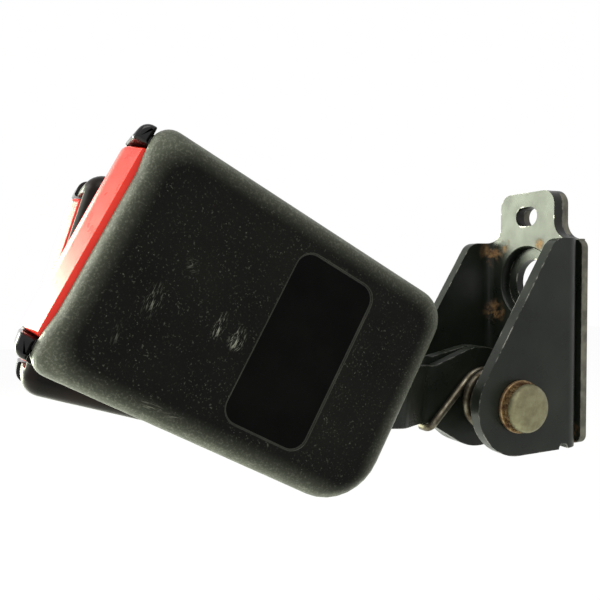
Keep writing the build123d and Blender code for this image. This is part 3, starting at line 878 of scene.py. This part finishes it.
def grained_black(name, middle_place, rise, scuffs=()):
    """Fine-grained black moulding, with a painted sheen that lightens it along its borders and rounded
    edges.

    scuffs are (point, half length, half width, slope, strength), in mm and radians.
    """
    f = Finish(name)
    # Painted sheen: the walls and rounded edges below the flat face (edge), and a rounded border round the
    # outline, take a lighter grey-green colour.
    apart = f.node("ShaderNodeSeparateXYZ")
    f.put(f.coords, apart.inputs[0])
    height = f.math("ABSOLUTE", apart.outputs["Y"])
    flat_face = pair_middle + 12.0
    edge = f.ramp(height, (flat_face - 0.02) * MM, (flat_face - 0.9) * MM)
    edge = f.math("MULTIPLY", edge, f.ramp(f.noise(210, 5), 0.30, 0.62, 0.6, 1.0))
    set_square = f.node("ShaderNodeMapping", vector_type="TEXTURE")
    set_square.inputs["Location"].default_value = middle_place
    set_square.inputs["Rotation"].default_value = (0, radians(rise), 0)
    f.put(f.coords, set_square.inputs["Vector"])
    square = f.node("ShaderNodeSeparateXYZ")
    f.put(set_square.outputs[0], square.inputs[0])
    corner = 9.0
    past = []
    for half, axis in ((0.5 * mouth_x, "X"), (half_width, "Z")):
        over = f.math("SUBTRACT", f.math("ABSOLUTE", square.outputs[axis]), (half - corner) * MM)
        past.append(f.math("POWER", f.math("MAXIMUM", over, 0.0), 2.0))
    outward = f.math("SQRT", f.math("ADD", past[0], past[1]))
    border_sheen = f.ramp(outward, (corner - 5.2) * MM, (corner - 0.8) * MM)
    border_sheen = f.math("MULTIPLY", f.math("POWER", border_sheen, 1.7), 0.75)
    edge = f.math("MAXIMUM", edge, border_sheen)
    tint = f.mix(f.ramp(f.noise(45, 4), 0.3, 0.75), (0.0014, 0.0014, 0.0011, 1), (0.0058, 0.0060, 0.0046, 1))
    # The grey-green colour mixed in here is the painted sheen.
    colour = f.mix(edge, tint, (0.074, 0.082, 0.057, 1))
    cell = f.node("ShaderNodeTexVoronoi", feature="F1")
    cell.inputs["Scale"].default_value = 1500
    f.put(f.coords, cell.inputs["Vector"])
    fine = f.noise(2300, 3, rough=0.7)
    dots = f.math("MULTIPLY", f.ramp(fine, 0.60, 0.72), f.ramp(f.noise(260, 4), 0.38, 0.60, 0.3, 1.0))
    # Painted glints: light specks only where the painted sheen lies.
    painted_edge_glints = f.math("MULTIPLY", f.ramp(fine, 0.50, 0.66), edge)
    specks_and_glints = f.math("MAXIMUM", f.math("MULTIPLY", dots, 0.30), f.math("MULTIPLY", painted_edge_glints, 0.5))
    scratch = None
    for point, length, width, slope, strength in scuffs:
        stroke = f.node("ShaderNodeMapping", vector_type="TEXTURE")
        stroke.inputs["Location"].default_value = [c * MM for c in point]
        stroke.inputs["Rotation"].default_value = (0, -slope, 0)
        stroke.inputs["Scale"].default_value = (1, 1, 0.13)
        f.put(f.coords, stroke.inputs["Vector"])
        lines = f.ramp(f.noise(520, 2, stroke.outputs[0]), 0.53, 0.62, 0, strength)
        spot = f.near(point, 1.0, 0.2, (length, 6.0, width), -slope, lines)
        scratch = spot if scratch is None else f.math("MAXIMUM", scratch, spot)
    # Scratches and grain specks are marks on the moulding; the edge glints mixed in with them are painted.
    marks_and_glints = specks_and_glints
    if scratch is not None:
        marks_and_glints = f.math("MAXIMUM", f.math("MULTIPLY", scratch, 0.85), specks_and_glints)
    f.set("Base Color", f.mix(marks_and_glints, colour, (0.25, 0.255, 0.205, 1)))
    f.set("Roughness", f.ramp(f.noise(120, 4), 0.3, 0.7, 0.38, 0.50))
    f.set("Specular IOR Level", f.ramp(edge, 0, 1, 0.07, 0.30))
    grain = f.bump(f.ramp(cell.outputs["Distance"], 0.15, 0.75), 0.035, 0.6)
    f.set("Normal", f.bump(f.noise(3200, 3), 0.02, 0.35, grain))
    return f.material


def smooth_black(name, base, low, high, tinge=None, shine=0.2):
    """Plain black moulding, hazed paler in patches, or tinged there with the colour given, and
    hair-scratched; low to high is its roughness.
    """
    f = Finish(name)
    f.set("Specular IOR Level", shine)
    tint_patches = f.ramp(f.noise(140, 4), 0.3, 0.72)
    f.set("Base Color", f.mix(tint_patches, base, tinge or [c * 1.9 for c in base[:3]] + [1]))
    hair = f.ramp(f.noise(700, 6, rough=0.75), 0.62, 0.70)
    f.set("Roughness", f.math("ADD", f.ramp(tint_patches, 0, 1, low, high), f.math("MULTIPLY", hair, 0.15)))
    f.set("Normal", f.bump(f.noise(260, 2), 0.05, 0.35))
    return f.material


front_scuffs = (
    ((-104.0, -26.4, -6.6), 3.4, 1.3, 1.05, 0.9),
    ((-100.6, -26.4, -9.0), 2.8, 1.9, 1.0, 1.0),
    ((-101.0, -26.4, -9.8), 1.6, 2.0, 0.6, 1.0),
    ((-116.1, -26.4, -1.3), 3.8, 1.8, 1.1, 0.5),
    ((-122.4, -26.4, -6.9), 2.6, 1.0, 1.15, 0.25),
    ((-108.8, -26.4, 4.9), 1.4, 2.0, 0.2, 0.3),
    ((-116.6, -26.0, -20.4), 3.0, 1.0, -0.5, 0.6),
    ((-112.6, -26.0, -22.5), 2.4, 0.7, -0.3, 0.5),
)
grains = {}
for name, scuffs in (("front", front_scuffs), ("rear", ())):
    centre = buckles[name] @ Vector((0.5 * mouth_x, 0, 0))
    grains[name] = grained_black(f"grained_black_{name}", centre, arms[name][3], scuffs)
panel_black = smooth_black("label_panel_black", (0.0016, 0.0016, 0.0015, 1), 0.20, 0.32, shine=0.03)
# Painted highlight: the label panel's walls are a lighter black than the panel, for a light outline round
# it.
label_rim_highlight = smooth_black("label_rim_painted_highlight", (0.014, 0.014, 0.011, 1), 0.35, 0.5, (0.034, 0.034, 0.026, 1))
# Painted reflection: the plain cover is tinged reddish brown in patches.
painted_reddish_reflection = (0.012, 0.007, 0.005, 1)
inner_black = smooth_black("inner_cover_black", (0.004, 0.0035, 0.003, 1), 0.24, 0.40, painted_reddish_reflection, 0.12)

for name, place in buckles.items():
    outer = from_work(f"{name}_label_cover", cover_shell(cover_corners, True), place)
    cut_out(
        outer,
        (
            block_cutter(throat, (-1, 8.9), (-19.4, 19.4), place),
            block_cutter(throat, (-1, 8.6), (-21.8, 21.8), place),
        ),
    )
    outer.data.materials.append(grains[name])
    outer.data.materials.append(panel_black)
    outer.data.materials.append(label_rim_highlight)
    shaded(outer, 30)
    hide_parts(f"{name}_outer_cover")
    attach(outer, f"{name}_buckle")

    inner = from_work(f"{name}_plain_cover", cover_shell(inner_corners, False), place, mirror_y=True)
    cut_out(
        inner,
        (
            block_cutter(throat, (-10.0, 1), (-19.4, 19.4), place),
            block_cutter((-1, 3), (-6.9, -3.3), (-8.8, 8.8), place),
        ),
    )
    inner.data.materials.append(inner_black)
    shaded(inner, 30)
    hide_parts(f"{name}_inner_cover")
    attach(inner, f"{name}_buckle")

# ---------------------------------------------------------------------------
# Mouth guide: glossy black moulding at the mouth. Its two lugs close the ends
# of the button and its back lip leads the tongue in.
# ---------------------------------------------------------------------------
gloss_black = smooth_black("gloss_black_guide", (0.003, 0.003, 0.0032, 1), 0.12, 0.2, shine=0.3)


def mouth_guide():
    """Two lugs with their necks, and the lip between them."""
    work = bmesh.new()
    for side in (-1, 1):
        lug = [(71.8, 19.5, 0.2), (75.0, 19.5, 0.5), (74.4, 23.7, 2.4), (71.8, 23.7, 0.3)]
        loops = [(0.0, 0.02)]
        for n in range(7):
            turn = radians(90) * n / 6
            loops.append((1.0 * (1 - cos(turn)), 7.2 + 1.1 * sin(turn)))
        rows = skinned(work, [at_depth(outline(lug, inset, 6), y) for inset, y in loops])
        work.faces.new(reversed(rows[0]))
        work.faces.new(rows[-1])
        if side < 0:
            turned_over = [v for row in rows for v in row]
            bmesh.ops.scale(work, vec=(1, 1, -1), verts=turned_over)
    for x, y, z in (
        ((63.0, 72.3), (0.1, 8.3), (19.5, 21.5)),
        ((63.0, 72.3), (0.1, 8.3), (-21.5, -19.5)),
        ((63.0, 72.0), (-9.9, -7.5), (-19.3, 19.3)),
    ):
        block(work, x, y, z, 0.3)
    return work


for name, place in buckles.items():
    guide = from_work(f"{name}_lugs_and_lip", mouth_guide(), place)
    guide.data.materials.append(gloss_black)
    shaded(guide, 35)
    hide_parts(f"{name}_mouth_guide")
    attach(guide, f"{name}_buckle")

# ---------------------------------------------------------------------------
# Release button: red moulding across the mouth, crowned on its pressed face,
# hollow behind, on two legs that carry its springs.
# ---------------------------------------------------------------------------


def red_button(name):
    """Glossy red moulding, with a painted highlight that pales it along its edges."""
    f = Finish(name)
    fade = f.ramp(f.noise(90, 4), 0.3, 0.75)
    painted_edge_highlight = f.edges(1.4, 0.03, 0.4)
    base = f.mix(fade, (0.70, 0.014, 0.006, 1), (0.80, 0.030, 0.012, 1))
    # Painted highlight: the edges are mixed part way to a pale red.
    f.set("Base Color", f.mix(f.math("MULTIPLY", painted_edge_highlight, 0.3), base, (0.85, 0.16, 0.10, 1)))
    f.set("Roughness", f.ramp(f.noise(380, 4), 0.3, 0.7, 0.24, 0.38))
    f.set("Specular IOR Level", 0.15)
    f.set("Coat Weight", 0.38)
    f.set("Coat Roughness", 0.22)
    f.set("Normal", f.bump(f.noise(900, 3), 0.02, 0.5))
    return f.material


def button_shape():
    """The crowned bar with rounded ends, and its two legs."""
    work = bmesh.new()
    low, high, half = -2.4, 8.6, 19.1
    front, back = 75.15, 60.5
    crown = [(front - 1.5, low, 0.6), (front, 0.4, 3.0), (front - 0.25, 3.4, 6.0), (72.5, high, 0.15)]
    section = [(back, low, 0.4)] + crown + [(back, high, 0.4)]
    stations = []
    for n in range(6):
        turn = radians(90) * n / 5
        stations.append((1.1 * (1 - sin(turn)), half - 1.1 * (1 - cos(turn))))
    stations = stations + [(inset, -z) for inset, z in reversed(stations)]
    loops = []
    for inset, z in stations:
        loops.append([(x, y, z) for x, y in outline(section, inset, 7)])
    rows = skinned(work, loops)
    work.faces.new(rows[0])
    work.faces.new(reversed(rows[-1]))
    for side in (-1, 1):
        block(work, (46.5, 62.7), (-1.5, 5.5), (side * 17.9, side * 20.7), 0.3)
    return work


red = red_button("red_button_moulding")
for name, place in buckles.items():
    button = from_work(f"{name}_red_button", button_shape(), place)
    button.data.materials.append(red)
    shaded(button, 35)
    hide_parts(f"{name}_release_button")
    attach(button, f"{name}_button")

# ---------------------------------------------------------------------------
# Latch works inside each buckle: zinc-plated frame, latch plate and rivets, a
# natural acetal ejector, and small compression springs. The latch's rod is left
# a little slimmer than its solid, so that its facets turn free of the hole's.
# ---------------------------------------------------------------------------


def bright_zinc(name):
    """Clean zinc plate, rolled lines showing through."""
    f = Finish(name)
    grain = f.node("ShaderNodeMapping")
    grain.inputs["Scale"].default_value = (60, 400, 400)
    f.put(f.coords, grain.inputs["Vector"])
    lines = f.noise(6, 5, grain.outputs[0])
    spangle = f.ramp(f.noise(200, 4), 0.35, 0.7)
    f.set("Base Color", f.mix(spangle, (0.42, 0.42, 0.42, 1), (0.62, 0.61, 0.58, 1)))
    f.set("Metallic", 1.0)
    f.set("Roughness", f.ramp(lines, 0.3, 0.7, 0.26, 0.42))
    f.set("Normal", f.bump(lines, 0.02, 0.4))
    return f.material


def acetal(name):
    """Natural acetal: waxy, slightly see-through white."""
    f = Finish(name)
    cloud = f.ramp(f.noise(150, 3), 0.3, 0.7)
    f.set("Base Color", f.mix(cloud, (0.72, 0.70, 0.64, 1), (0.82, 0.81, 0.77, 1)))
    f.set("Roughness", f.ramp(f.noise(500, 3), 0.3, 0.7, 0.3, 0.45))
    f.set("Subsurface Weight", 0.1)
    f.set("Subsurface Radius", (0.001, 0.001, 0.0008))
    f.set("Normal", f.bump(f.noise(1200, 3), 0.02, 0.4))
    return f.material


zinc_plate = bright_zinc("bright_zinc_plate")
natural_acetal = acetal("natural_acetal")
latch_half_width = 8.6
rod_share = 0.96
small_wire = drawn_wire("small_spring_wire", (0.55, 0.53, 0.50, 1), (0.30, 0.28, 0.25, 1))
for name, place in buckles.items():
    for part in ("latch_frame", "rivets"):
        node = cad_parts[f"{name}_{part}"]
        node.data.materials.clear()
        node.data.materials.append(zinc_plate)
    latch = pressed(f"{name}_hooked_latch", f"{name}_latch", 0)
    latch.data.materials.append(zinc_plate)
    in_buckle = [place.inverted() @ v.co for v in latch.data.vertices]
    rod = [v for v in latch.data.vertices if abs(in_buckle[v.index].z) > latch_half_width]
    rod_middle = sum((in_buckle[v.index] for v in rod), Vector()) / len(rod)
    for v in rod:
        slimmer = in_buckle[v.index]
        slimmer.x = rod_middle.x + (slimmer.x - rod_middle.x) * rod_share
        slimmer.y = rod_middle.y + (slimmer.y - rod_middle.y) * rod_share
        v.co = place @ slimmer
    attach(latch, f"{name}_latch_plate")
    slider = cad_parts[f"{name}_ejector"]
    slider.data.materials.clear()
    slider.data.materials.append(natural_acetal)


def helix(start, length, radius, wire, turns, axis):
    """Points of a coil, set in a wire's thickness from each end, in buckle millimetres."""
    points = []
    steps = int(turns * 14)
    height = length - 2 * wire
    for n in range(steps + 1):
        t = n / steps
        rise = wire + height * t
        angle = 2 * pi * turns * t
        u, v = radius * cos(angle), radius * sin(angle)
        x, y, z = start
        if axis == "x":
            points.append((x + rise, y + u, z + v))
        else:
            points.append((x + u, y + rise, z + v))
    return points


def joined(name, pieces):
    """One piece from several meshes."""
    work = bmesh.new()
    for piece in pieces:
        work.from_mesh(piece.data)
    mesh = bpy.data.meshes.new(name)
    work.to_mesh(mesh)
    work.free()
    for material in pieces[0].data.materials:
        mesh.materials.append(material)
    for piece in pieces:
        bpy.data.objects.remove(piece)
    return shaded(loose(name, mesh), 50)


for name, place in buckles.items():
    pair = []
    for side in (-1, 1):
        line = helix((29.0, 2.0, side * 19.3), 17.5, 1.35, 0.3, 6, "x")
        pair.append(wire_piece(f"coil_{side}", line, 0.3, 8, small_wire, place))
    button_coils = joined(f"{name}_button_coils", pair)
    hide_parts(f"{name}_button_springs")
    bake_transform(button_coils)

    line = helix((20.5, -4.45, 0), 23.0, 1.75, 0.3, 7, "x")
    push_coil = wire_piece(f"{name}_ejector_coil", line, 0.3, 8, small_wire, place)
    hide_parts(f"{name}_ejector_spring")
    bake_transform(push_coil)

    line = helix((36.3, 5.1, 0), 4.8, 1.9, 0.3, 3, "y")
    hold_coil = wire_piece(f"{name}_latch_coil", line, 0.3, 8, small_wire, place)
    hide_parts(f"{name}_latch_spring")
    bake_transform(hold_coil)
